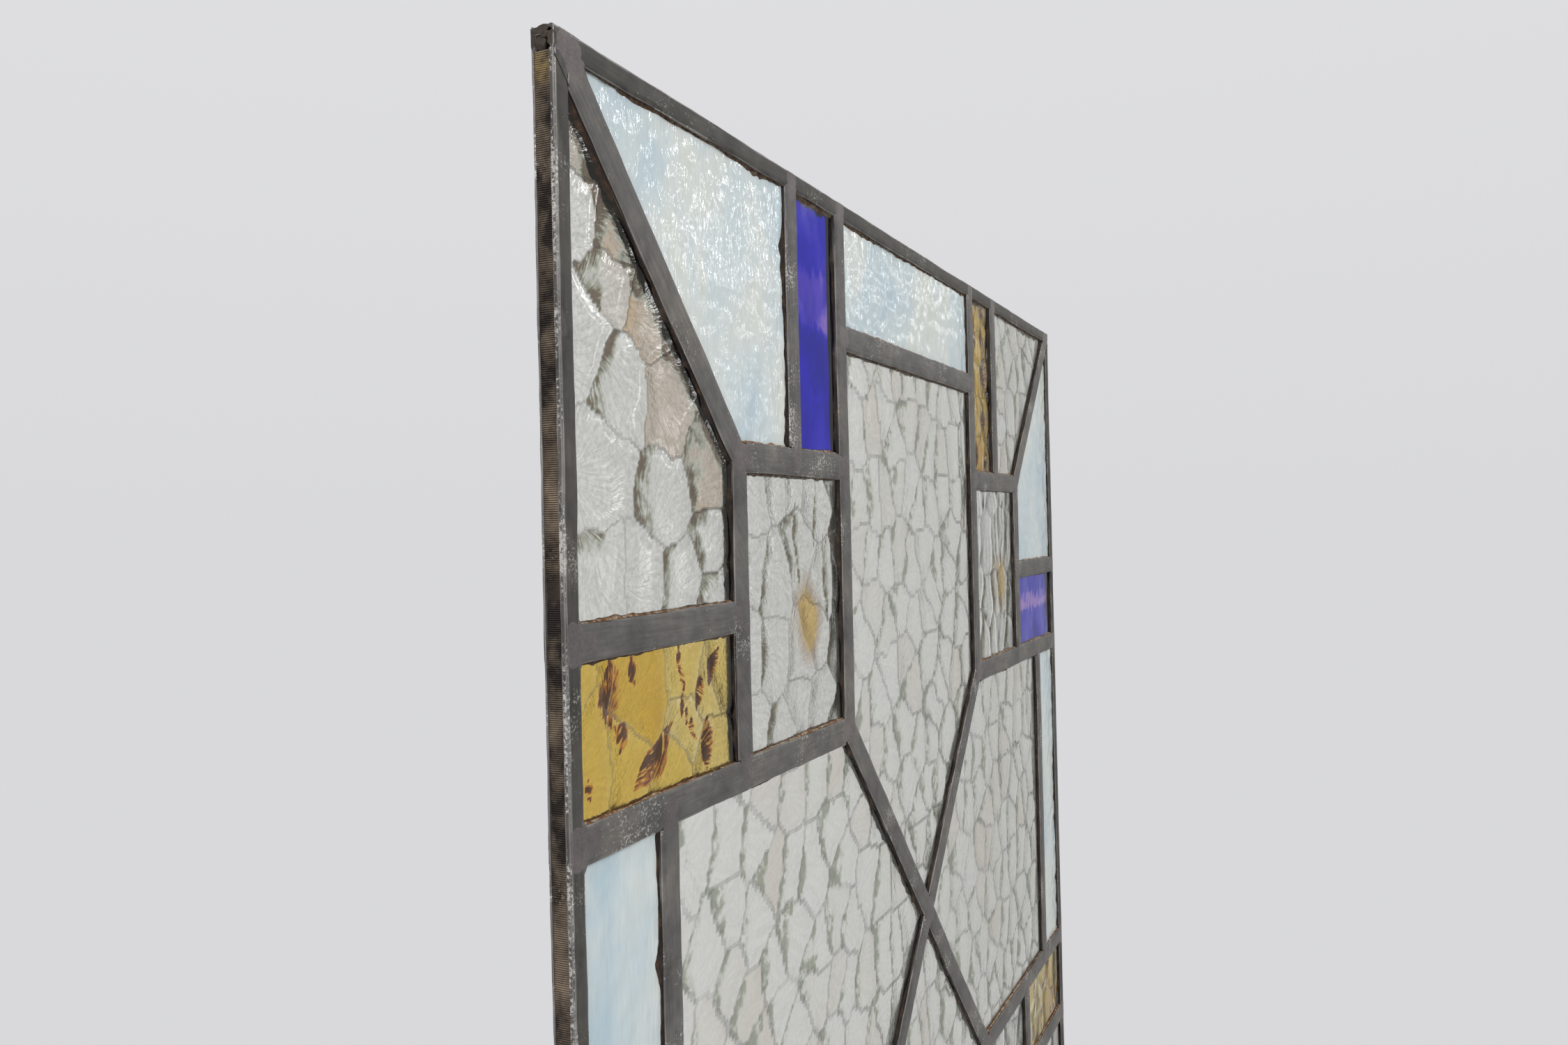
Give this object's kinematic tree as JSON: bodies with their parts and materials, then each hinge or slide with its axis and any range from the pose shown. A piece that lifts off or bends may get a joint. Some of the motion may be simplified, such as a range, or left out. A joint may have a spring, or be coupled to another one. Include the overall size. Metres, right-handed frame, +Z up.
{
  "type": "leaded glass panel",
  "caption": "Rectangular window panel of clear, opal, blue and amber glass held in a symmetrical network of lead cames, to be set in a frame.",
  "frame": {"origin": "middle of the bottom border came, on the panel's back face, where it beds against the rebate of the frame", "axes": "+X to the viewer's right along the width, +Y out of the back, +Z up"},
  "size_m": [0.5, 0.0066, 0.55],
  "materials": {
    "lead": "dull oxidised lead, dark grey, lightly scratched, with pale specks",
    "clear_glass": "clear hammered rolled glass, faintly green",
    "opal_glass": "milky blue-white opal glass, gently rippled",
    "blue_glass": "deep cobalt blue glass, smooth with slight waves",
    "amber_glass": "golden amber hammered glass with dark brown mottles"
  },
  "bodies": {
    "root": {"border_bottom": "lead", "border_left": "lead", "border_right": "lead", "border_top": "lead", "came_centre_bar_lower": "lead", "came_centre_bar_upper": "lead", "came_corner_lower_left": "lead", "came_corner_lower_right": "lead", "came_corner_upper_left": "lead", "came_corner_upper_right": "lead", "came_cross_lower_left": "lead", "came_cross_through": "lead", "came_cross_upper_right": "lead", "came_long_bar_lower_left": "lead", "came_long_bar_lower_right": "lead", "came_long_bar_upper_left": "lead", "came_long_bar_upper_right": "lead", "came_side_strip_left": "lead", "came_side_strip_right": "lead", "came_square_lower_left": "lead", "came_square_lower_right": "lead", "came_square_upper_left": "lead", "came_square_upper_right": "lead", "came_strip_foot_lower_left": "lead", "came_strip_foot_lower_right": "lead", "came_strip_foot_upper_left": "lead", "came_strip_foot_upper_right": "lead", "came_strip_outer_lower_left": "lead", "came_strip_outer_lower_right": "lead", "came_strip_outer_upper_left": "lead", "came_strip_outer_upper_right": "lead", "pane_amber_square_lower_right": "amber_glass", "pane_amber_square_upper_left": "amber_glass", "pane_amber_strip_lower_left": "amber_glass", "pane_amber_strip_upper_right": "amber_glass", "pane_blue_square_lower_left": "blue_glass", "pane_blue_square_upper_right": "blue_glass", "pane_blue_strip_lower_right": "blue_glass", "pane_blue_strip_upper_left": "blue_glass", "pane_clear_centre_point_lower": "clear_glass", "pane_clear_centre_point_upper": "clear_glass", "pane_clear_corner_end_lower_left": "clear_glass", "pane_clear_corner_end_upper_right": "clear_glass", "pane_clear_corner_side_lower_right": "clear_glass", "pane_clear_corner_side_upper_left": "clear_glass", "pane_clear_side_point_left": "clear_glass", "pane_clear_side_point_right": "clear_glass", "pane_clear_upright_lower_left": "clear_glass", "pane_clear_upright_lower_right": "clear_glass", "pane_clear_upright_upper_left": "clear_glass", "pane_clear_upright_upper_right": "clear_glass", "pane_opal_centre_lower": "opal_glass", "pane_opal_centre_upper": "opal_glass", "pane_opal_corner_end_lower_right": "opal_glass", "pane_opal_corner_end_upper_left": "opal_glass", "pane_opal_corner_side_lower_left": "opal_glass", "pane_opal_corner_side_upper_right": "opal_glass", "pane_opal_side_strip_left": "opal_glass", "pane_opal_side_strip_right": "opal_glass"}
  },
  "joints": []
}
